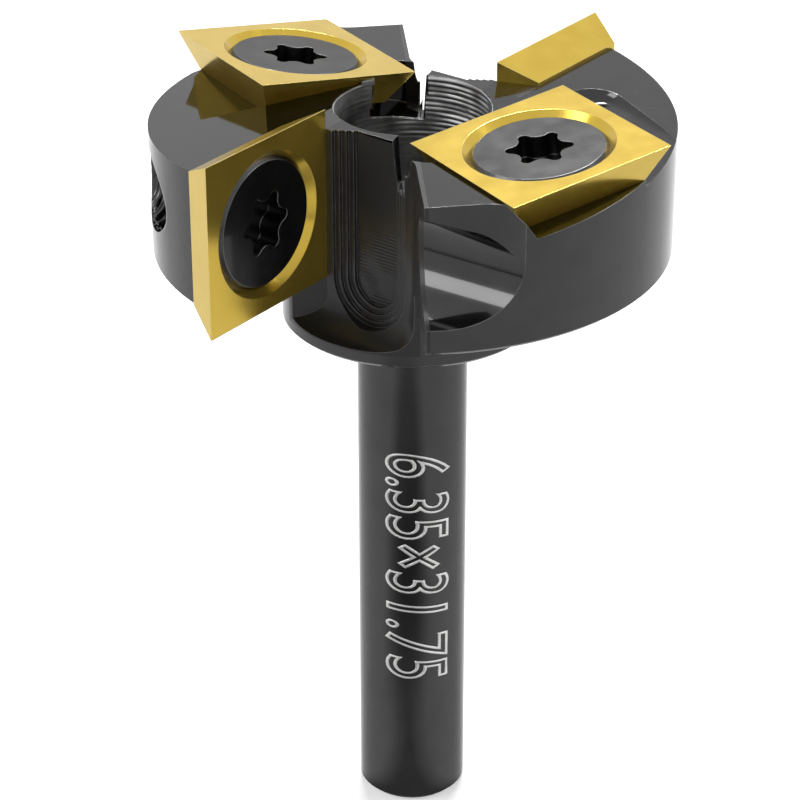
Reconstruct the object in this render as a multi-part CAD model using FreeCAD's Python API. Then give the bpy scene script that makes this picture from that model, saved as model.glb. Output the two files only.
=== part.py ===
import FreeCAD, Part
import math
import os

# Surfacing router bit with two upright and two flat square inserts.
# Millimetres. The origin is the centre of the shank's free end and +Z runs up the axis to the cutting face.
# Everything on the head comes in pairs, half a turn apart about Z, but for one chip recess.

V = FreeCAD.Vector

# Turned blank
SHANK_RADIUS = 3.175
SHANK_LENGTH = 32.06
SHANK_CHAMFER = 0.3
HUB_RADIUS = 7.42
HUB_HEIGHT = 4.47
HEAD_HEIGHT = 8.1
EDGE_CHAMFER = 0.18

# Cutting circle of the flat inserts, how far the upright ones and the turned head stay inside it,
# and how far the head stays below the cutting plane
CUTTING_RADIUS = 15.875
UPRIGHT_INSET = 0.25
HEAD_INSET = 1.3
HEAD_DROP = 1.13

# Blind hole in the middle of the face
CENTRE_HOLE_RADIUS = 4.42
CENTRE_HOLE_DEPTH = 8.8
CENTRE_HOLE_CONE = 1.2

# Square inserts
INSERT_SIDE = 9.94
INSERT_THICKNESS = 2.1
INSERT_CLEARANCE_ANGLE = 27.5
COUNTERSINK_RADIUS = 4.12
INSERT_BORE_RADIUS = 2.6

# Countersunk screws
SCREW_RADIUS = 2.2
SCREW_LENGTH = 5.0
SCREW_HEAD_SINK = 0.2
SCREW_HEAD_CHAMFER = 0.2
SCREW_POINT_CHAMFER = 0.4
SOCKET_RADIUS = 1.82
SOCKET_VALLEY_RADIUS = 1.3
SOCKET_TIP_ROUND = 0.34
SOCKET_DEPTH = 1.3
SOCKET_LOBES = 6
THREAD_CLEARANCE = 0.05

# Upright insert: its rake face is parallel to the axis and stands off it
RAKE_AZIMUTH = -36.7
RAKE_OFFSET = 1.7

# Flat insert: its leading edge lies in the cutting plane
LEAD_AZIMUTH = 32.0
LEAD_DISTANCE = 7.0
LEAD_TILT = 7.2

# Gullet in front of each upright insert
GULLET_FLOOR_RISE = 0.85
GULLET_FLOOR_RADIUS = 1.75
GULLET_CORNER = (0.33, -6.78)
GULLET_WALL_AZIMUTH = -86.0

# Stepped channel in the inner wall of the gullet
CHANNEL_WIDTH = 4.9
CHANNEL_CENTRE = 1.18
CHANNEL_RISE = 0.6
CHANNEL_STEPS = 4
CHANNEL_STEP_DEPTH = 0.21
CHANNEL_STEP_INSET = 0.33

# Round groove milled across each lobe under the land, from the gullet out through the outer wall
GROOVE_AZIMUTH = -34.5
GROOVE_INSET = 6.845
GROOVE_FLOOR_DROP = 6.63
GROOVE_FOOT_RADIUS = 3.3
GROOVE_SHOULDER_RADIUS = 1.6
GROOVE_CEILING_ANGLE = 25.0
GROOVE_START = 3.0

# Upright face that trims the land above the groove
BROW_AZIMUTH = 9.6
BROW_INSET = 1.455
BROW_CORNER_RADIUS = 3.0

# Top face: relief behind the upright insert, and the land behind the flat one
RELIEF_ANGLE = 4.5
RELIEF_REACH = 0.98
LAND_DROP = 0.29
LAND_REACH = 4.52

# Round relief where the trailing inner corner of the flat insert sits; it opens into the centre hole and
# breaks out through the end of the channel's wall
CORNER_RELIEF_RADIUS = 1.95
CORNER_RELIEF_SHIFT = 0.2
CORNER_RELIEF_DEPTH = 0.43

# Chip recess milled ahead of the right flat insert only, below its seat
RECESS_DEPTH = 0.4
RECESS_SIDE = 1.9
RECESS_REACH = 4.05
RECESS_GAP = 0.1
RECESS_CORNER_RADIUS = 1.8
RECESS_FLOOR_RADIUS = 0.9

# Length for cutting tools that run out of the blank, and a small lap where two tools join
OUT = 30.0
LAP = 1.0

UPRIGHT_RADIUS = CUTTING_RADIUS - UPRIGHT_INSET
HEAD_RADIUS = CUTTING_RADIUS - HEAD_INSET
HUB_BOTTOM = SHANK_LENGTH
HEAD_BOTTOM = HUB_BOTTOM + HUB_HEIGHT
HEAD_TOP = HEAD_BOTTOM + HEAD_HEIGHT
CUTTING_HEIGHT = HEAD_TOP + HEAD_DROP
GULLET_FLOOR = HUB_BOTTOM + GULLET_FLOOR_RISE
CHANNEL_BOTTOM = GULLET_FLOOR + CHANNEL_RISE
GROOVE_REACH = HEAD_RADIUS - GROOVE_INSET
GROOVE_FLOOR = HEAD_TOP - GROOVE_FLOOR_DROP
BROW_DISTANCE = HEAD_RADIUS - BROW_INSET
BEVEL = INSERT_THICKNESS * math.tan(math.radians(INSERT_CLEARANCE_ANGLE))
SCREW_HOLE_RADIUS = SCREW_RADIUS + THREAD_CLEARANCE


def heading(azimuth):
    """Unit vector in the XY plane."""
    a = math.radians(azimuth)
    return V(math.cos(a), math.sin(a), 0)


def frame_at(origin, x_axis, z_axis):
    """Placement with the given origin, X axis and Z axis."""
    y_axis = z_axis.cross(x_axis)
    rotation = FreeCAD.Rotation(x_axis, y_axis, z_axis, "ZXY")
    return FreeCAD.Placement(origin, rotation)


def placed(shape, placement):
    copy = shape.copy()
    copy.Placement = placement.multiply(copy.Placement)
    return copy


def half_turn(shape):
    copy = shape.copy()
    copy.rotate(V(0, 0, 0), V(0, 0, 1), 180)
    return copy


def polygon_face(points):
    return Part.Face(Part.makePolygon(list(points) + [points[0]]))


def nearest_edge(shape, point):
    """The edge of the shape whose middle lies nearest to the point."""
    return min(shape.Edges, key=lambda edge: (edge.CenterOfMass - point).Length)


def insert_inner_reach():
    """Distance from the axis, along the rake face, to the inner edge of an upright insert."""
    return math.sqrt(UPRIGHT_RADIUS ** 2 - RAKE_OFFSET ** 2) - INSERT_SIDE


def upright_frame():
    """Insert frame: X runs outward, Y up and Z out of the rake face; the origin is the face's centre."""
    normal = heading(RAKE_AZIMUTH)
    outward = heading(RAKE_AZIMUTH - 90)
    centre = normal * -RAKE_OFFSET + outward * (insert_inner_reach() + INSERT_SIDE / 2)
    centre.z = CUTTING_HEIGHT - INSERT_SIDE / 2
    return frame_at(centre, outward, normal)


def flat_frame():
    """Insert frame: X runs outward along the leading edge, Y towards it and Z out of the top face."""
    lead = heading(LEAD_AZIMUTH)
    outward = heading(LEAD_AZIMUTH - 90)
    tilt = math.radians(LEAD_TILT)
    forward = V(lead.x * math.cos(tilt), lead.y * math.cos(tilt), math.sin(tilt))
    normal = outward.cross(forward)
    outer = math.sqrt(CUTTING_RADIUS ** 2 - LEAD_DISTANCE ** 2)
    corner = lead * LEAD_DISTANCE + outward * outer
    corner.z = CUTTING_HEIGHT
    centre = corner - outward * (INSERT_SIDE / 2) - forward * (INSERT_SIDE / 2)
    return frame_at(centre, outward, normal)


def rectangle_wire(x0, x1, y0, y1, z):
    return Part.makePolygon([V(x0, y0, z), V(x1, y0, z), V(x1, y1, z), V(x0, y1, z), V(x0, y0, z)])


def insert_shape():
    """Square insert with four edges, undercut sides and a countersunk bore, its top face at z = 0."""
    half = INSERT_SIDE / 2
    small = half - BEVEL
    top = rectangle_wire(-half, half, -half, half, 0)
    bottom = rectangle_wire(-small, small, -small, small, -INSERT_THICKNESS)
    solid = Part.makeLoft([bottom, top], True, True)
    depth = COUNTERSINK_RADIUS - INSERT_BORE_RADIUS
    sink = Part.makeCone(INSERT_BORE_RADIUS, COUNTERSINK_RADIUS, depth, V(0, 0, -depth))
    bore = Part.makeCylinder(INSERT_BORE_RADIUS, INSERT_THICKNESS + LAP, V(0, 0, -INSERT_THICKNESS - LAP))
    return solid.cut(sink).cut(bore)


def polar(radius, angle):
    return V(radius * math.cos(angle), radius * math.sin(angle), 0)


def socket_shape():
    """Six-lobe socket: round tips and round valleys that run into each other smoothly."""
    half_step = math.pi / SOCKET_LOBES
    tip_centre = SOCKET_RADIUS - SOCKET_TIP_ROUND
    across = tip_centre * math.cos(half_step)
    valley_round = (tip_centre ** 2 + SOCKET_VALLEY_RADIUS ** 2 - SOCKET_TIP_ROUND ** 2) / 2
    valley_round -= across * SOCKET_VALLEY_RADIUS
    valley_round /= SOCKET_TIP_ROUND + across - SOCKET_VALLEY_RADIUS
    valley_centre = polar(SOCKET_VALLEY_RADIUS + valley_round, half_step)
    to_valley = valley_centre - V(tip_centre, 0, 0)
    join = V(tip_centre, 0, 0) + to_valley * (SOCKET_TIP_ROUND / to_valley.Length)
    join_angle = math.atan2(join.y, join.x)
    edges = []
    for i in range(SOCKET_LOBES):
        tip = 2 * half_step * i
        start = polar(join.Length, tip - join_angle)
        end = polar(join.Length, tip + join_angle)
        following = polar(join.Length, tip + 2 * half_step - join_angle)
        valley = polar(SOCKET_VALLEY_RADIUS, tip + half_step)
        edges.append(Part.Arc(start, polar(SOCKET_RADIUS, tip), end).toShape())
        edges.append(Part.Arc(end, valley, following).toShape())
    face = Part.Face(Part.Wire(edges))
    socket = face.extrude(V(0, 0, -(SOCKET_DEPTH + SCREW_HEAD_SINK + LAP)))
    socket.translate(V(0, 0, LAP))
    return socket


def screw_shape():
    """Countersunk screw on the insert's axis; its head lies just below the insert's face."""
    top = -SCREW_HEAD_SINK
    rim_depth = SCREW_HEAD_SINK + SCREW_HEAD_CHAMFER
    rim = COUNTERSINK_RADIUS - rim_depth
    neck_depth = COUNTERSINK_RADIUS - SCREW_RADIUS
    end = top - SCREW_LENGTH
    profile = Part.makePolygon([
        V(0, 0, top),
        V(rim - SCREW_HEAD_CHAMFER, 0, top),
        V(rim, 0, -rim_depth),
        V(SCREW_RADIUS, 0, -neck_depth),
        V(SCREW_RADIUS, 0, end + SCREW_POINT_CHAMFER),
        V(SCREW_RADIUS - SCREW_POINT_CHAMFER, 0, end),
        V(0, 0, end),
        V(0, 0, top),
    ])
    solid = Part.Face(profile).revolve(V(0, 0, 0), V(0, 0, 1), 360)
    return solid.cut(socket_shape())


def blank():
    """The turned bar: shank, hub and head, with the centre hole drilled in the face."""
    c = SHANK_CHAMFER
    e = EDGE_CHAMFER
    points = [
        V(0, 0, 0),
        V(SHANK_RADIUS - c, 0, 0),
        V(SHANK_RADIUS, 0, c),
        V(SHANK_RADIUS, 0, HUB_BOTTOM),
        V(HUB_RADIUS - e, 0, HUB_BOTTOM),
        V(HUB_RADIUS, 0, HUB_BOTTOM + e),
        V(HUB_RADIUS, 0, HEAD_BOTTOM),
        V(HEAD_RADIUS - e, 0, HEAD_BOTTOM),
        V(HEAD_RADIUS, 0, HEAD_BOTTOM + e),
        V(HEAD_RADIUS, 0, HEAD_TOP),
        V(0, 0, HEAD_TOP),
    ]
    bar = polygon_face(points).revolve(V(0, 0, 0), V(0, 0, 1), 360)
    floor = HEAD_TOP - CENTRE_HOLE_DEPTH
    hole = Part.makeCylinder(CENTRE_HOLE_RADIUS, CENTRE_HOLE_DEPTH + LAP, V(0, 0, floor))
    cone = Part.makeCone(0, CENTRE_HOLE_RADIUS, CENTRE_HOLE_CONE, V(0, 0, floor - CENTRE_HOLE_CONE))
    return bar.cut(hole.fuse(cone))


def gullet():
    """Open space in front of an upright insert, from the seat's plane round to the far wall."""
    normal = heading(RAKE_AZIMUTH)
    outward = heading(RAKE_AZIMUTH - 90)
    inner = insert_inner_reach()
    seat = -RAKE_OFFSET - INSERT_THICKNESS
    corner = V(GULLET_CORNER[0], GULLET_CORNER[1], 0)
    side = corner.dot(normal)
    points = [
        normal * seat + outward * OUT,
        normal * seat + outward * (inner + BEVEL),
        normal * -RAKE_OFFSET + outward * inner,
        normal * side + outward * inner,
        corner + heading(GULLET_WALL_AZIMUTH) * OUT,
    ]
    lift = V(0, 0, GULLET_FLOOR)
    tool = polygon_face([p + lift for p in points]).extrude(V(0, 0, OUT))
    inner_edge = (points[2] + points[3]) * 0.5 + lift
    far_edge = (points[3] + points[4]) * 0.5 + lift
    upright_edge = points[3] + lift + V(0, 0, OUT / 2)
    rounded = [nearest_edge(tool, middle) for middle in (inner_edge, far_edge, upright_edge)]
    return tool.makeFillet(GULLET_FLOOR_RADIUS, rounded)


def channel():
    """Round-bottomed pocket in the gullet's inner wall, cut in nested steps."""
    normal = heading(RAKE_AZIMUTH)
    outward = heading(RAKE_AZIMUTH - 90)
    tool = None
    for i in range(CHANNEL_STEPS):
        radius = CHANNEL_WIDTH / 2 - i * CHANNEL_STEP_INSET
        depth = (i + 1) * CHANNEL_STEP_DEPTH
        centre = normal * CHANNEL_CENTRE + outward * (insert_inner_reach() - depth)
        centre.z = CHANNEL_BOTTOM + CHANNEL_WIDTH / 2
        round_end = Part.makeCylinder(radius, depth + LAP, centre, outward)
        corner = centre - normal * radius
        across = normal * (2 * radius)
        up = V(0, 0, OUT)
        outline = polygon_face([corner, corner + across, corner + across + up, corner + up])
        step = round_end.fuse(outline.extrude(outward * (depth + LAP)))
        tool = step if tool is None else tool.fuse(step)
    return tool


def flat_pocket():
    """Seat of a flat insert: walls fit its trailing and inner sides, and the floor runs out elsewhere."""
    half = INSERT_SIDE / 2
    small = half - BEVEL
    rise = 2 * INSERT_THICKNESS
    grow = rise * math.tan(math.radians(INSERT_CLEARANCE_ANGLE))
    low = rectangle_wire(-small, OUT, -small, OUT, -INSERT_THICKNESS)
    high = rectangle_wire(-small - grow, OUT, -small - grow, OUT, rise - INSERT_THICKNESS)
    pocket = Part.makeLoft([low, high], True, True)
    corner = CORNER_RELIEF_SHIFT - small - BEVEL / 2
    foot = V(corner, corner, -INSERT_THICKNESS - CORNER_RELIEF_DEPTH)
    relief = Part.makeCylinder(CORNER_RELIEF_RADIUS, OUT, foot)
    return placed(pocket.fuse(relief), flat_frame())


def chip_recess():
    """Shallow recess ahead of the right flat insert, with a round corner and a round foot to its walls."""
    half = INSERT_SIDE / 2
    floor = -INSERT_THICKNESS - RECESS_DEPTH
    x0 = -half - RECESS_SIDE
    y0 = half - BEVEL + RECESS_GAP
    y1 = half + RECESS_REACH
    tool = Part.makeBox(OUT, y1 - y0, OUT, V(x0, y0, floor))
    tool = tool.makeFillet(RECESS_CORNER_RADIUS, [nearest_edge(tool, V(x0, y1, floor + OUT / 2))])
    floor_face = min(tool.Faces, key=lambda face: face.CenterOfMass.z)
    foot = []
    for edge in floor_face.Edges:
        middle = edge.CenterOfMass
        if middle.y > y0 + LAP and middle.x < x0 + OUT - LAP:
            foot.append(edge)
    tool = tool.makeFillet(RECESS_FLOOR_RADIUS, foot)
    return placed(tool, flat_frame())


def screw_hole(frame):
    """Tapped hole along an insert's axis, right through the lobe behind it."""
    hole = Part.makeCylinder(SCREW_HOLE_RADIUS, OUT, V(0, 0, -OUT))
    return placed(hole, frame)


def groove_profile():
    """Outline of the groove seen along it: how far out from the axis, and how high."""
    foot = GROOVE_FOOT_RADIUS
    shoulder = GROOVE_SHOULDER_RADIUS
    middle = GROOVE_FLOOR + foot
    ceiling = math.radians(GROOVE_CEILING_ANGLE)
    turn = math.radians(45)
    half_turned = (math.radians(90) - ceiling) / 2
    low = (GROOVE_REACH + foot, GROOVE_FLOOR)
    low_middle = (GROOVE_REACH + foot * (1 - math.cos(turn)), middle - foot * math.sin(turn))
    wall = (GROOVE_REACH, middle)
    high_middle = (
        GROOVE_REACH + shoulder * (1 - math.cos(half_turned)),
        middle + shoulder * math.sin(half_turned),
    )
    high = (
        GROOVE_REACH + shoulder * (1 - math.sin(ceiling)),
        middle + shoulder * math.cos(ceiling),
    )
    out_high = (high[0] + OUT * math.cos(ceiling), high[1] + OUT * math.sin(ceiling))
    out_low = (out_high[0], GROOVE_FLOOR)
    return low, low_middle, wall, high_middle, high, out_high, out_low


def groove():
    """Groove across the lobe, with the upright face that trims the land above it."""
    along = heading(GROOVE_AZIMUTH)
    outward = heading(GROOVE_AZIMUTH - 90)
    start = along * GROOVE_START
    points = [start + outward * reach + V(0, 0, z) for reach, z in groove_profile()]
    low, low_middle, wall, high_middle, high, out_high, out_low = points
    outline = Part.Wire([
        Part.Arc(low, low_middle, wall).toShape(),
        Part.Arc(wall, high_middle, high).toShape(),
        Part.LineSegment(high, out_high).toShape(),
        Part.LineSegment(out_high, out_low).toShape(),
        Part.LineSegment(out_low, low).toShape(),
    ])
    bar = Part.Face(outline).extrude(along * OUT)
    brow_along = heading(BROW_AZIMUTH)
    brow_outward = heading(BROW_AZIMUTH - 90)
    reach = (BROW_DISTANCE - outward.dot(brow_outward) * GROOVE_REACH) / along.dot(brow_outward)
    corner = outward * GROOVE_REACH + along * reach
    corner.z = GROOVE_FLOOR + GROOVE_FOOT_RADIUS
    brow = polygon_face([
        corner,
        corner + along * OUT,
        corner + along * OUT + brow_outward * OUT,
        corner - brow_along * OUT + brow_outward * OUT,
        corner - brow_along * OUT,
    ]).extrude(V(0, 0, OUT))
    brow = brow.makeFillet(BROW_CORNER_RADIUS, [nearest_edge(brow, corner + V(0, 0, OUT / 2))])
    return bar.fuse(brow)


def top_relief():
    """Wedge over the lobe behind an upright insert: the face falls away from the cutting edge."""
    normal = heading(RAKE_AZIMUTH)
    inward = heading(RAKE_AZIMUTH + 90)
    start = V(0, 0, HEAD_TOP) - normal * RAKE_OFFSET + inward * RELIEF_REACH
    fall = math.tan(math.radians(RELIEF_ANGLE)) * OUT
    wedge = polygon_face([start, start - normal * OUT - V(0, 0, fall), start - normal * OUT])
    return wedge.extrude(inward * -OUT)


def land():
    """Flat land behind the trailing edge of a flat insert, a little below the turned face."""
    lead = heading(LEAD_AZIMUTH)
    outward = heading(LEAD_AZIMUTH - 90)
    base = V(0, 0, HEAD_TOP - LAND_DROP) + outward * LAND_REACH
    plate = polygon_face([
        base,
        base - lead * OUT,
        base - lead * OUT + outward * OUT,
        base + outward * OUT,
    ])
    return plate.extrude(V(0, 0, 1))


def body_shape():
    body = blank()
    tools = [
        gullet(),
        channel(),
        flat_pocket(),
        groove(),
        top_relief(),
        land(),
        screw_hole(upright_frame()),
        screw_hole(flat_frame()),
    ]
    for tool in tools:
        body = body.cut(tool)
        body = body.cut(half_turn(tool))
    return body.cut(chip_recess())


def main():
    front = placed(insert_shape(), upright_frame())
    right = placed(insert_shape(), flat_frame())
    front_screw = placed(screw_shape(), upright_frame())
    right_screw = placed(screw_shape(), flat_frame())
    nodes = {
        "body": body_shape(),
        "upright_insert_front": front,
        "upright_insert_back": half_turn(front),
        "flat_insert_right": right,
        "flat_insert_left": half_turn(right),
        "screw_upright_front": front_screw,
        "screw_upright_back": half_turn(front_screw),
        "screw_flat_right": right_screw,
        "screw_flat_left": half_turn(right_screw),
    }
    os.makedirs("parts", exist_ok=True)
    for name, shape in nodes.items():
        print(name, "solids", len(shape.Solids), "valid", shape.isValid(), "volume", round(shape.Volume, 2))
        shape.exportStep("parts/" + name + ".step")


main()
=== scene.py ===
import math

import bmesh
import bpy
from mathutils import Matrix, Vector, noise
from mathutils.bvhtree import BVHTree


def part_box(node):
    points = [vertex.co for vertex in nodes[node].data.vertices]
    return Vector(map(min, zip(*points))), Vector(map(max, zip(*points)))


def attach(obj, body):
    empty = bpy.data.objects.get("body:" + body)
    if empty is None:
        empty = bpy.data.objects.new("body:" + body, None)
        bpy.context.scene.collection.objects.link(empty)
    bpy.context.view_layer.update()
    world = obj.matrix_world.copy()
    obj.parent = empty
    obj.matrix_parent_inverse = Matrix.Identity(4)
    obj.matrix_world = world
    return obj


# Surfacing router bit, in metres. +Z runs up the axis to the cutting face, and -Y faces the viewer.

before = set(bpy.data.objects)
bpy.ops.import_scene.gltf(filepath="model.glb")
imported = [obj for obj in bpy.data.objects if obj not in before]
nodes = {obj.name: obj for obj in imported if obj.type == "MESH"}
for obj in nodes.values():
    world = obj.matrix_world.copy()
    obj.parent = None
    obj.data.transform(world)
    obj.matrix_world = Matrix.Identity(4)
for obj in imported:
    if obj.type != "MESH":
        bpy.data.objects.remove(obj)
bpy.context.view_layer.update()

MM = 0.001
UP = Vector((0, 0, 1))
WHITE = (1, 1, 1, 1)
BLACK = (0, 0, 0, 1)

BODY_NODE = "body"
INSERT_NODES = [
    "upright_insert_front",
    "upright_insert_back",
    "flat_insert_right",
    "flat_insert_left",
]
SCREW_NODES = [
    "screw_upright_front",
    "screw_upright_back",
    "screw_flat_right",
    "screw_flat_left",
]

# Camera fitted to the photograph: a long lens from in front and above. Angles in degrees
CAMERA_PLACE = (0.0, -144.76 * MM, 103.65 * MM)
CAMERA_PITCH = 61.852
CAMERA_ROLL = 0.057
CAMERA_YAW = 0.254
CAMERA_LENS = 127.27
SENSOR_WIDTH = 36.0
CAMERA_NEAR = 0.005
CAMERA_FAR = 10.0

# Soft lamps, all turned to the middle of the object: place, width, height and power in watts
LAMP_AIM = (0, 0, 30 * MM)
LAMPS = {
    "lamp_back": ((0.03, 0.33, 0.485), 0.22, 0.10, 3.2),
    "lamp_left": ((-0.355, -0.105, 0.325), 0.24, 0.17, 0.62),
    "lamp_right": ((0.40, -0.02, 0.24), 0.18, 0.28, 0.4),
}

# White room: soft light from all round, and how bright the room is for the camera and in the metal
ROOM_LIGHT = 0.18
ROOM_SEEN = 1.0
ROOM_MIRRORED = 0.88

# White floor: its glow for the camera, between two distances from the middle, and its glow in the metal
FLOOR_HALF = 1.5
FLOOR_TONE = (0.8, 0.8, 0.8, 1)
FLOOR_GLOW_REACH = (0.2, 0.7)
FLOOR_GLOW = (0.5, 0.82)
FLOOR_MIRRORED = 0.04

# Painted shade on the floor that only the metal mirrors: a darker place in front of the shank, which paints
# a dark reflection down the middle of the shank, as a dark card there would give
PAINTED_SHADE_PLACE = (-8 * MM, -44 * MM, 0)
PAINTED_SHADE_HALF_WIDTH = 30 * MM
PAINTED_SHADE_HALF_DEPTH = 36 * MM
PAINTED_SHADE_CORE = 0.45
PAINTED_SHADE_DARKENS = 0.6

# Finishes: dark and light tone of the mottle, pale tone on the edges (partly where they have rubbed, partly
# a painted highlight), lowest and highest roughness, radius of the softened edges, strength of the grain,
# coat, tint of grazing reflections, how metallic it is, and whether the gullets in it are milled duller
BLACK_OXIDE = {
    "dark": (0.018, 0.018, 0.018, 1),
    "light": (0.026, 0.026, 0.027, 1),
    "worn_and_highlight": (0.20, 0.20, 0.20, 1),
    "roughness": (0.15, 0.22),
    "edge": 0.07 * MM,
    "grain": 0.10,
    "coat": 1.0,
    "rim": 0.35,
    "milled": True,
}
GOLD_COATING = {
    "dark": (0.68, 0.47, 0.060, 1),
    "light": (0.73, 0.515, 0.078, 1),
    "worn_and_highlight": (0.95, 0.82, 0.36, 1),
    "roughness": (0.17, 0.21),
    "edge": 0.06 * MM,
    "grain": 0.02,
    "metallic": 0.8,
}
SATIN_BLACK_OXIDE = {
    "dark": (0.049, 0.049, 0.050, 1),
    "light": (0.066, 0.066, 0.067, 1),
    "worn_and_highlight": (0.28, 0.28, 0.28, 1),
    "roughness": (0.28, 0.34),
    "edge": 0.07 * MM,
    "grain": 0.15,
    "coat": 0.4,
    "rim": 0.6,
}
CUT_STEEL = {
    "dark": (0.18, 0.18, 0.18, 1),
    "light": (0.42, 0.42, 0.42, 1),
    "worn_and_highlight": (0.55, 0.55, 0.55, 1),
    "roughness": (0.38, 0.52),
    "edge": 0.03 * MM,
    "grain": 0.4,
}
BARE_STEEL = {
    "dark": (0.62, 0.62, 0.62, 1),
    "light": (0.78, 0.78, 0.77, 1),
    "worn_and_highlight": (0.85, 0.85, 0.85, 1),
    "roughness": (0.34, 0.46),
    "edge": 0.02 * MM,
    "grain": 0.2,
}

# Mottle, pale edges (rubbed wear and painted highlight) and grain: scale of each noise, the range of it that
# is used, how much of an edge is rubbed and painted pale from the least place to the most, and the grain's
# height
MOTTLE_SCALE = 600.0
MOTTLE_RANGE = (0.3, 0.7)
WEAR_AND_HIGHLIGHT_SCALE = 1500.0
WEAR_AND_HIGHLIGHT_RANGE = (0.3, 0.6)
WEAR_AND_HIGHLIGHT_SHARE = (0.35, 1.0)
GRAIN_SCALE = 6000.0
GRAIN_DETAIL = 2.0
GRAIN_HEIGHT = 0.01 * MM
COAT_ROUGHNESS = 0.06
COAT_IOR = 1.5

# An edge shows where the rounded normal leaves the true one: cosines for no edge and for a full one
EDGE_COSINES = (0.995, 0.90)
EDGE_SAMPLES = 6

# Directions of the seats in degrees, as on the part
RAKE_AZIMUTH = -36.7
LEAD_AZIMUTH = 32.0
LEAD_TILT = 7.2

# The gullets: limits of their surfaces, measured along and across the rake face and up the axis, the width
# of the ramp at a limit, and a distance for a side that has no limit
CHANNEL_FLOOR = 4.752 * MM
GULLET_CORNER_REACH = 5.239 * MM
GULLET_WALL_SLOPE = 0.860
GULLET_SIDE = 4.35 * MM
GULLET_SEAT = -3.85 * MM
GULLET_FLOOR = 32.85 * MM
GULLET_TOP = 44.45 * MM
EDGE_BLEND = 0.06 * MM
NO_LIMIT = 1.0

# Duller milled finish inside the gullets
MILLED_TONE = (0.045, 0.045, 0.047, 1)
MILLED_METALLIC = 0.3
MILLED_ROUGHER = 0.2
MILLED_COAT = 0.12

# Ripples that the cutter left low on the channel's floor, in patches. The factor is the wave pattern's scale
# times the distance between its bands
RIPPLE_PITCH = 0.2 * MM
RIPPLE_FACTOR = 0.314
RIPPLE_WAVER = 1.2
RIPPLE_DETAIL = 3.0
RIPPLE_DETAIL_SCALE = 1.6
RIPPLE_STRENGTH = 0.6
RIPPLE_HEIGHT = 0.03 * MM
RIPPLE_FADE = (38.0 * MM, 41.0 * MM)
PATCH_SCALE = 700.0
PATCH_DETAIL = 1.0
PATCH_RANGE = (0.4, 0.6)
PATCH_SHARE = (0.1, 1.0)

# Tool marks on the wall of the centre hole. They stand out at the back right near the rim: where the wall
# faces within a ramp of cosines round an azimuth, and above a ramp up the hole
CENTRE_HOLE_FLOOR = 35.9 * MM
CENTRE_MARKS = {
    "radius": 4.42 * MM,
    "pitch": 0.30 * MM,
    "depth": 0.07 * MM,
    "columns": 160,
    "ragged": 1.6,
}
MARKS_AZIMUTH = 57.0
MARKS_TURN_FROM = 0.67
MARKS_TURN_RAMP = 0.2
MARKS_HIGH_FROM = 0.5
MARKS_HIGH_RAMP = 0.22
MARKS_FAINT = 0.10

# Thread of the tapped screw holes beyond the screws' ends
TAPPED_REACH = 7 * MM
TAPPED_THREAD = {
    "radius": 2.25 * MM,
    "pitch": 0.7 * MM,
    "depth": 0.24 * MM,
    "columns": 60,
    "ragged": 0.2,
}

# How far the ribs in a hole stop short of its mouth, stand off its wall and reach back into it,
# and the radius of the head, which they stay inside
RIB_MARGIN = 0.04 * MM
RIB_LIFT = 0.004 * MM
RIB_SHELL = 0.05 * MM
HEAD_RADIUS = 14.575 * MM

# The ribs' fineness, where their unevenness is read from the noise, how the wall is looked for, and how a
# crest that would stand out of the head is lowered
ROWS_A_TURN = 8
RAGGED_ROUND = 3
RAGGED_ALONG = 0.9
RAGGED_LAYER = 1.7
WALL_TOLERANCE = 0.03
WALL_LOOK = 1.5
END_STEPS = 5
CREST_STEPS = 12
CREST_SHRINKS = 0.75

# Size marking that reads down the shank: plain numbers, shank and cutting diameter in millimetres
MARKING_TEXT = "6.35×31.75"
MARKING_TOP = 24.4 * MM
MARKING_LENGTH = 15.6 * MM
MARKING_HEIGHT = 4.1 * MM
MARKING_AZIMUTH = -83.5
MARKING_LEAN = 0.16
MARKING_WEIGHT = 0.022
MARKING_CURVES = 6
MARKING_STEP = 0.35 * MM
MARKING_SPLITS = 6
MARKING_RISE = 0.014 * MM
MARKING_PROUD = 0.35
SHANK_RADIUS = 3.175 * MM


def heading(azimuth):
    a = math.radians(azimuth)
    return Vector((math.cos(a), math.sin(a), 0))


def new_material(name):
    material = bpy.data.materials.new(name)
    material.use_nodes = True
    material.node_tree.nodes.clear()
    return material


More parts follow.
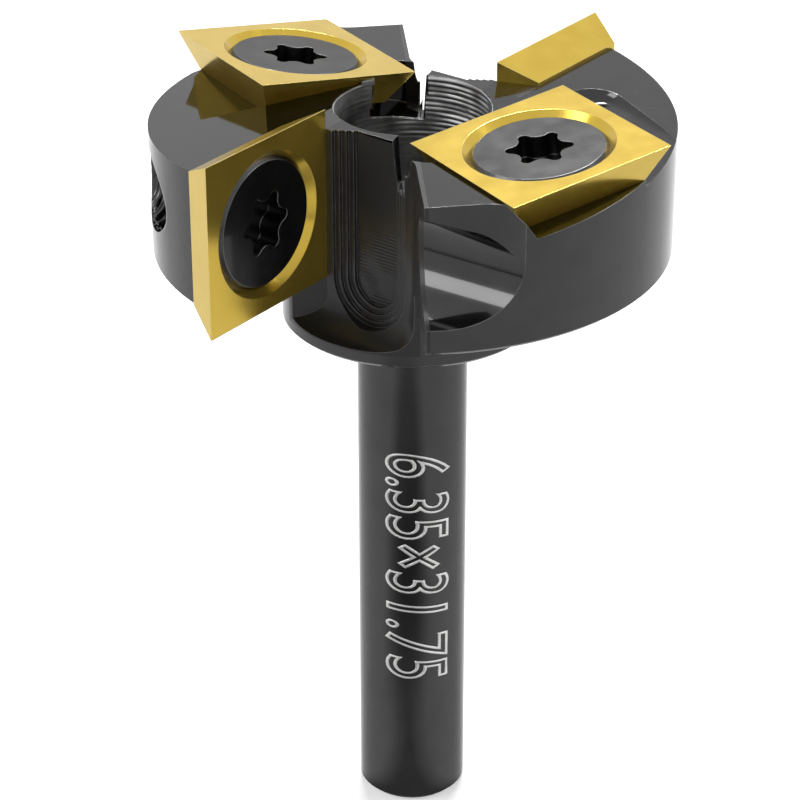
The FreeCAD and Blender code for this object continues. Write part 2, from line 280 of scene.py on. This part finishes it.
class Graph:
    """Small helper that adds nodes to a tree and links them."""

    def __init__(self, tree):
        self.tree = tree

    def plug(self, socket, value):
        if isinstance(value, bpy.types.NodeSocket):
            self.tree.links.new(value, socket)
        else:
            socket.default_value = value

    def add(self, kind, inputs=None, **settings):
        node = self.tree.nodes.new(kind)
        for key, value in settings.items():
            setattr(node, key, value)
        for key, value in (inputs or {}).items():
            self.plug(node.inputs[key], value)
        return node

    def math(self, operation, a, b=0.0):
        return self.add("ShaderNodeMath", {0: a, 1: b}, operation=operation).outputs[0]

    def vector_math(self, operation, a, b=(0, 0, 0)):
        """A value for a length or a dot product, and a vector for the rest."""
        node = self.add("ShaderNodeVectorMath", {0: a, 1: b}, operation=operation)
        return node.outputs["Value" if operation in ("LENGTH", "DOT_PRODUCT") else "Vector"]

    def mix_color(self, factor, a, b):
        node = self.add("ShaderNodeMix", data_type="RGBA")
        for index, value in ((0, factor), (6, a), (7, b)):
            self.plug(node.inputs[index], value)
        return node.outputs[2]

    def map_range(self, value, low, high, to_low, to_high):
        names = ("Value", "From Min", "From Max", "To Min", "To Max")
        inputs = dict(zip(names, (value, low, high, to_low, to_high)))
        return self.add("ShaderNodeMapRange", inputs).outputs[0]

    def noise(self, coordinate, scale, detail=4.0):
        inputs = {"Vector": coordinate, "Scale": scale, "Detail": detail}
        return self.add("ShaderNodeTexNoise", inputs).outputs[0]

    def bump(self, height, strength, distance, normal):
        inputs = {"Height": height, "Strength": strength, "Distance": distance, "Normal": normal}
        return self.add("ShaderNodeBump", inputs).outputs[0]

    def edge_mask(self, radius):
        """1 along sharp edges and 0 on open faces, and the rounded normal that shows them."""
        bevel = self.add("ShaderNodeBevel", {"Radius": radius}, samples=EDGE_SAMPLES)
        rounded = bevel.outputs[0]
        sharp = self.add("ShaderNodeNewGeometry").outputs["Normal"]
        cosine = self.vector_math("DOT_PRODUCT", rounded, sharp)
        return self.map_range(cosine, *EDGE_COSINES, 0.0, 1.0), rounded

    def inside(self, value, low, high):
        """1 between the two limits, with a narrow ramp at each, and 0 beyond them."""
        above = self.map_range(value, low - EDGE_BLEND, low, 0.0, 1.0)
        below = self.map_range(value, high, high + EDGE_BLEND, 1.0, 0.0)
        return self.math("MULTIPLY", above, below)

    def gullet_masks(self, coordinate):
        """Two masks: the walls and floors of the two gullets, and the channel's floor within them."""
        reach = self.vector_math("DOT_PRODUCT", coordinate, heading(RAKE_AZIMUTH - 90))
        side = self.math("SIGN", reach)
        reach = self.math("ABSOLUTE", reach)
        across = self.vector_math("DOT_PRODUCT", coordinate, heading(RAKE_AZIMUTH))
        across = self.math("MULTIPLY", side, across)
        height = self.vector_math("DOT_PRODUCT", coordinate, UP)
        past_corner = self.math("SUBTRACT", reach, GULLET_CORNER_REACH)
        lean = self.math("MULTIPLY", past_corner, GULLET_WALL_SLOPE)
        from_wall = self.math("SUBTRACT", across, lean)
        mask = self.inside(reach, CHANNEL_FLOOR - EDGE_BLEND, NO_LIMIT)
        mask = self.math("MULTIPLY", mask, self.inside(across, GULLET_SEAT, NO_LIMIT))
        mask = self.math("MULTIPLY", mask, self.inside(from_wall, -NO_LIMIT, GULLET_SIDE))
        mask = self.math("MULTIPLY", mask, self.inside(height, GULLET_FLOOR, GULLET_TOP))
        near = self.inside(reach, 0.0, CHANNEL_FLOOR + EDGE_BLEND)
        return mask, self.math("MULTIPLY", mask, near)

    def ripples(self, coordinate, mask):
        """Fine level ripples that a cutter left, in patches of the masked surface."""
        inputs = {
            "Vector": coordinate,
            "Scale": RIPPLE_FACTOR / RIPPLE_PITCH,
            "Distortion": RIPPLE_WAVER,
            "Detail": RIPPLE_DETAIL,
            "Detail Scale": RIPPLE_DETAIL_SCALE,
        }
        wave = self.add("ShaderNodeTexWave", inputs, bands_direction="Z").outputs[1]
        patch = self.noise(coordinate, PATCH_SCALE, PATCH_DETAIL)
        patch = self.map_range(patch, *PATCH_RANGE, *PATCH_SHARE)
        low = self.vector_math("DOT_PRODUCT", coordinate, UP)
        low = self.map_range(low, *RIPPLE_FADE, 1.0, 0.0)
        shown = self.math("MULTIPLY", wave, mask)
        return self.math("MULTIPLY", shown, self.math("MULTIPLY", patch, low))

    def surface(self, shader):
        self.add("ShaderNodeOutputMaterial", {"Surface": shader.outputs[0]})


def coated_metal(
    name, dark, light, worn_and_highlight, roughness, edge, grain, coat=0.0, rim=1.0, metallic=1.0, milled=False
):
    """Metal with a slight mottle, fine grain, softened edges and a paler tone on the edges, partly wear
    where they have rubbed and partly a painted highlight.
    """
    material = new_material(name)
    graph = Graph(material.node_tree)
    coordinate = graph.add("ShaderNodeTexCoord").outputs["Object"]
    mottle = graph.noise(coordinate, MOTTLE_SCALE)
    edges, rounded = graph.edge_mask(edge)
    # Paler edge tone: partly wear where the edges have rubbed, partly a painted highlight along them
    wear_and_highlight = graph.map_range(graph.noise(coordinate, WEAR_AND_HIGHLIGHT_SCALE), *WEAR_AND_HIGHLIGHT_RANGE, *WEAR_AND_HIGHLIGHT_SHARE)
    rubbed_and_highlit = graph.math("MULTIPLY", edges, wear_and_highlight)
    base = graph.mix_color(graph.map_range(mottle, *MOTTLE_RANGE, 0.0, 1.0), dark, light)
    rough = graph.map_range(mottle, *MOTTLE_RANGE, *roughness)
    relief = rounded
    if milled:
        dull, channel = graph.gullet_masks(coordinate)
        base = graph.mix_color(dull, base, MILLED_TONE)
        rough = graph.math("ADD", rough, graph.math("MULTIPLY", dull, MILLED_ROUGHER))
        coat = graph.map_range(dull, 0.0, 1.0, coat, coat * MILLED_COAT)
        metallic = graph.map_range(dull, 0.0, 1.0, metallic, MILLED_METALLIC)
        ripples = graph.ripples(coordinate, channel)
        relief = graph.bump(ripples, RIPPLE_STRENGTH, RIPPLE_HEIGHT, rounded)
    grains = graph.noise(coordinate, GRAIN_SCALE, GRAIN_DETAIL)
    inputs = {
        "Base Color": graph.mix_color(rubbed_and_highlit, base, worn_and_highlight),
        "Metallic": metallic,
        "Roughness": rough,
        "Normal": graph.bump(grains, grain, GRAIN_HEIGHT, relief),
        "Specular Tint": (rim, rim, rim, 1),
    }
    if coat:
        inputs["Coat Weight"] = coat
        inputs["Coat Roughness"] = COAT_ROUGHNESS
        inputs["Coat IOR"] = COAT_IOR
        inputs["Coat Normal"] = relief
    graph.surface(graph.add("ShaderNodeBsdfPrincipled", inputs))
    return material


def dress(names, material):
    for name in names:
        for slot in nodes[name].material_slots:
            slot.material = material


def seen_by_camera_and_metal(graph, camera, metal):
    """Strength of a white glow for camera rays, and for glossy and transmission rays; none for the rest."""
    path = graph.add("ShaderNodeLightPath")
    mirrored = graph.math("MAXIMUM", path.outputs["Is Glossy Ray"], path.outputs["Is Transmission Ray"])
    mirrored = graph.math("MULTIPLY", mirrored, metal)
    direct = graph.math("MULTIPLY", path.outputs["Is Camera Ray"], camera)
    return graph.math("MAXIMUM", mirrored, direct)


def add_floor():
    """White floor that shows the object's shadow. In front of the shank it has a painted shade that only the
    metal mirrors, a painted dark reflection on the shank.
    """
    material = new_material("white_floor")
    graph = Graph(material.node_tree)
    coordinate = graph.add("ShaderNodeTexCoord").outputs["Object"]
    away = graph.vector_math("LENGTH", coordinate)
    seen = graph.map_range(away, *FLOOR_GLOW_REACH, *FLOOR_GLOW)
    glow = seen_by_camera_and_metal(graph, seen, FLOOR_MIRRORED)
    # Painted shade for glossy rays only: the floor is darker here, which paints a dark reflection on the
    # shank
    from_painted_shade = graph.vector_math("SUBTRACT", coordinate, PAINTED_SHADE_PLACE)
    stretch = (1 / PAINTED_SHADE_HALF_WIDTH, 1 / PAINTED_SHADE_HALF_DEPTH, 0)
    beside = graph.vector_math("LENGTH", graph.vector_math("MULTIPLY", from_painted_shade, stretch))
    painted_shade_share = graph.map_range(beside, PAINTED_SHADE_CORE, 1.0, PAINTED_SHADE_DARKENS, 0.0)
    mirrored = graph.add("ShaderNodeLightPath").outputs["Is Glossy Ray"]
    shade = graph.mix_color(graph.math("MULTIPLY", mirrored, painted_shade_share), FLOOR_TONE, BLACK)
    diffuse = graph.add("ShaderNodeBsdfDiffuse", {"Color": shade})
    emission = graph.add("ShaderNodeEmission", {"Color": WHITE, "Strength": glow})
    graph.surface(graph.add("ShaderNodeAddShader", {0: diffuse.outputs[0], 1: emission.outputs[0]}))
    mesh = bpy.data.meshes.new("floor")
    corners = [(x * FLOOR_HALF, y * FLOOR_HALF, 0) for x, y in ((-1, -1), (1, -1), (1, 1), (-1, 1))]
    mesh.from_pydata(corners, [], [(0, 1, 2, 3)])
    mesh.materials.append(material)
    floor = bpy.data.objects.new("floor", mesh)
    bpy.context.collection.objects.link(floor)


def set_world():
    """A little soft light from all round; the camera and the metal see a white room."""
    world = bpy.data.worlds.new("studio")
    bpy.context.scene.world = world
    world.use_nodes = True
    world.node_tree.nodes.clear()
    graph = Graph(world.node_tree)
    glow = seen_by_camera_and_metal(graph, ROOM_SEEN, ROOM_MIRRORED)
    strength = graph.math("MAXIMUM", glow, ROOM_LIGHT)
    background = graph.add("ShaderNodeBackground", {"Color": WHITE, "Strength": strength})
    graph.add("ShaderNodeOutputWorld", {"Surface": background.outputs[0]})


def add_lamp(name, place, width, height, power):
    light = bpy.data.lights.new(name, "AREA")
    light.shape = "RECTANGLE"
    light.size = width
    light.size_y = height
    light.energy = power
    lamp = bpy.data.objects.new(name, light)
    lamp.location = place
    lamp.rotation_euler = (Vector(LAMP_AIM) - Vector(place)).to_track_quat("-Z", "Y").to_euler()
    bpy.context.collection.objects.link(lamp)


def add_camera():
    data = bpy.data.cameras.new("camera")
    data.lens = CAMERA_LENS
    data.sensor_width = SENSOR_WIDTH
    data.clip_start = CAMERA_NEAR
    data.clip_end = CAMERA_FAR
    camera = bpy.data.objects.new("camera", data)
    camera.location = CAMERA_PLACE
    camera.rotation_euler = [math.radians(a) for a in (CAMERA_PITCH, CAMERA_ROLL, CAMERA_YAW)]
    bpy.context.collection.objects.link(camera)
    bpy.context.scene.camera = camera


def flat_normal():
    """Direction out of the right flat insert's face."""
    tilt = math.radians(LEAD_TILT)
    forward = heading(LEAD_AZIMUTH) * math.cos(tilt)
    forward.z = math.sin(tilt)
    return heading(LEAD_AZIMUTH - 90).cross(forward)


def half_turned(v):
    return Vector((-v.x, -v.y, v.z))


def side_vectors(axis):
    across = axis.orthogonal().normalized()
    return across, axis.cross(across)


def screw_end(node, inward):
    """The point on a screw's axis at its far end."""
    points = [v.co for v in nodes[node].data.vertices]
    place = Vector((0, 0, 0))
    for side in side_vectors(inward):
        reach = [p.dot(side) for p in points]
        place += side * (min(reach) + max(reach)) / 2
    return place + inward * max(p.dot(inward) for p in points)


def body_tree():
    mesh = nodes[BODY_NODE].data
    return BVHTree.FromPolygons([v.co for v in mesh.vertices], [p.vertices for p in mesh.polygons])


def ramp(value, start, length):
    return min(1.0, max(0.0, (value - start) / length))


def even(angle, share):
    """Ribs that stand out alike all over their hole."""
    return 1.0


def strongest_at_back(angle, share):
    """How strongly the centre hole's marks stand out at an angle and a share of the hole's height."""
    turn = math.cos(angle - math.radians(MARKS_AZIMUTH))
    near = ramp(turn, MARKS_TURN_FROM, MARKS_TURN_RAMP)
    high = ramp(share, MARKS_HIGH_FROM, MARKS_HIGH_RAMP)
    return MARKS_FAINT + (1 - MARKS_FAINT) * near * high


def has_wall(tree, start, axis, out, along, radius):
    """Whether the hole has its wall in direction out, here and a little to both sides along the axis, and
    the head has room behind it for the back of the ribs."""
    for shift in (-RIB_MARGIN, 0.0, RIB_MARGIN):
        centre = start + axis * (along + shift)
        hit = tree.ray_cast(centre, out, radius * WALL_LOOK)
        if hit[0] is None or abs(hit[3] - radius) > WALL_TOLERANCE * radius:
            return False
        behind = centre + out * (radius + RIB_SHELL) + axis * RIB_SHELL
        if math.hypot(behind.x, behind.y) > HEAD_RADIUS:
            return False
    return True


def rows_on_wall(tree, start, axis, out, length, rows, radius):
    """Places of one column's rows, those beside the wall's end moved to it, and which are on the wall."""
    places = [length * j / rows for j in range(rows + 1)]
    found = [has_wall(tree, start, axis, out, place, radius) for place in places]
    kept = list(found)
    for j in range(rows + 1):
        beside = [k for k in (j - 1, j + 1) if 0 <= k <= rows and found[k]]
        if found[j] or not beside:
            continue
        good = length * beside[0] / rows
        bad = places[j]
        for _ in range(END_STEPS):
            middle = (good + bad) / 2
            if has_wall(tree, start, axis, out, middle, radius):
                good = middle
            else:
                bad = middle
        places[j] = good
        kept[j] = True
    return places, kept


def crest_inside_head(centre, out, wall, height):
    """Point of a rib at its height off the wall, or lower where it would stand out of the head."""
    for _ in range(CREST_STEPS):
        crest = centre + out * (wall - height)
        if math.hypot(crest.x, crest.y) < HEAD_RADIUS - RIB_SHELL:
            break
        height *= CREST_SHRINKS
    return centre + out * (wall - height)


def ribbed_wall(name, tree, start, axis, length, strength, radius, pitch, depth, columns, ragged):
    """Raised helical ribs on the wall of a hole, only where the body has that wall."""
    across, over = side_vectors(axis)
    rows = int(length / pitch * ROWS_A_TURN)
    angles = [2 * math.pi * i / columns for i in range(columns)]
    directions = [across * math.cos(angle) + over * math.sin(angle) for angle in angles]
    walls = [rows_on_wall(tree, start, axis, out, length, rows, radius) for out in directions]
    verts = []
    there = []
    for j in range(rows + 1):
        for i in range(columns):
            out = directions[i]
            along = walls[i][0][j]
            there.append(walls[i][1][j])
            phase = (along / pitch + i / columns) % 1.0
            rib = 1 - abs(2 * phase - 1)
            spot = Vector((angles[i] * RAGGED_ROUND, along / pitch * RAGGED_ALONG, RAGGED_LAYER))
            rough = noise.noise(spot) * ragged
            facing = math.atan2(out.y, out.x)
            height = depth * max(0.0, rib * (1 + rough)) * strength(facing, j / rows)
            verts.append(crest_inside_head(start + axis * along, out, radius - RIB_LIFT, height))
    faces = []
    for j in range(rows):
        for i in range(columns):
            a = j * columns + i
            b = j * columns + (i + 1) % columns
            quad = (a, b, b + columns, a + columns)
            if all(there[k] for k in quad):
                faces.append(quad)
    used = sorted({k for quad in faces for k in quad})
    index = {k: n for n, k in enumerate(used)}
    mesh = bpy.data.meshes.new(name)
    mesh.from_pydata([verts[k] for k in used], [], [[index[k] for k in quad] for quad in faces])
    mesh.validate()
    for polygon in mesh.polygons:
        polygon.use_smooth = True
    ribs = bpy.data.objects.new(name, mesh)
    bpy.context.collection.objects.link(ribs)
    shell = ribs.modifiers.new("shell", "SOLIDIFY")
    shell.thickness = RIB_SHELL
    shell.offset = -1.0
    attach(ribs, "root")
    return ribs


def split_long_edges(mesh, limit):
    work = bmesh.new()
    work.from_mesh(mesh)
    for _ in range(MARKING_SPLITS):
        long_edges = [edge for edge in work.edges if edge.calc_length() > limit]
        if not long_edges:
            break
        bmesh.ops.subdivide_edges(work, edges=long_edges, cuts=1)
    bmesh.ops.triangulate(work, faces=work.faces)
    work.to_mesh(mesh)
    work.free()


def shank_marking():
    """Outlined numbers wrapped round the shank."""
    text = bpy.data.curves.new("marking_text", "FONT")
    text.body = MARKING_TEXT
    text.fill_mode = "NONE"
    text.resolution_u = MARKING_CURVES
    text.shear = MARKING_LEAN
    text.bevel_depth = MARKING_WEIGHT
    text.bevel_resolution = 1
    holder = bpy.data.objects.new("marking_text", text)
    bpy.context.collection.objects.link(holder)
    bpy.context.view_layer.update()
    drawn = holder.evaluated_get(bpy.context.evaluated_depsgraph_get())
    mesh = bpy.data.meshes.new_from_object(drawn)
    bpy.data.objects.remove(holder)
    xs = [v.co.x for v in mesh.vertices]
    ys = [v.co.y for v in mesh.vertices]
    left = min(xs)
    stretch = MARKING_LENGTH / (max(xs) - left)
    grow = MARKING_HEIGHT / (max(ys) - min(ys))
    middle = (min(ys) + max(ys)) / 2
    split_long_edges(mesh, MARKING_STEP / grow)
    for v in mesh.vertices:
        angle = math.radians(MARKING_AZIMUTH) + (v.co.y - middle) * grow / SHANK_RADIUS
        radius = SHANK_RADIUS + MARKING_RISE + v.co.z * grow * MARKING_PROUD
        down = MARKING_TOP - (v.co.x - left) * stretch
        v.co = (radius * math.cos(angle), radius * math.sin(angle), down)
    mesh.materials.clear()
    marking = bpy.data.objects.new("size_marking", mesh)
    bpy.context.collection.objects.link(marking)
    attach(marking, "root")
    return marking


add_camera()
add_floor()
set_world()
for lamp_name, (lamp_place, lamp_width, lamp_height, lamp_power) in LAMPS.items():
    add_lamp(lamp_name, lamp_place, lamp_width, lamp_height, lamp_power)

black_oxide = coated_metal("black_oxide", **BLACK_OXIDE)
gold = coated_metal("gold_coating", **GOLD_COATING)
satin = coated_metal("satin_black_oxide", **SATIN_BLACK_OXIDE)
cut_steel = coated_metal("cut_steel", **CUT_STEEL)
bare_steel = coated_metal("bare_steel", **BARE_STEEL)
dress([BODY_NODE], black_oxide)
dress(INSERT_NODES, gold)
dress(SCREW_NODES, satin)

tree = body_tree()
hole_start = UP * CENTRE_HOLE_FLOOR
hole_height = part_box(BODY_NODE)[1][2] - CENTRE_HOLE_FLOOR
marks = ribbed_wall(
    "centre_hole_marks", tree, hole_start, UP, hole_height, strongest_at_back, **CENTRE_MARKS
)
marks.data.materials.append(cut_steel)

tapped = {
    "screw_upright_front": -heading(RAKE_AZIMUTH),
    "screw_upright_back": heading(RAKE_AZIMUTH),
    "screw_flat_right": -flat_normal(),
    "screw_flat_left": -half_turned(flat_normal()),
}
for node, inward in tapped.items():
    thread_name = node.replace("screw", "thread")
    end = screw_end(node, inward)
    thread = ribbed_wall(thread_name, tree, end, inward, TAPPED_REACH, even, **TAPPED_THREAD)
    thread.data.materials.append(black_oxide)
shank_marking().data.materials.append(bare_steel)

bpy.context.scene.view_settings.view_transform = "Standard"
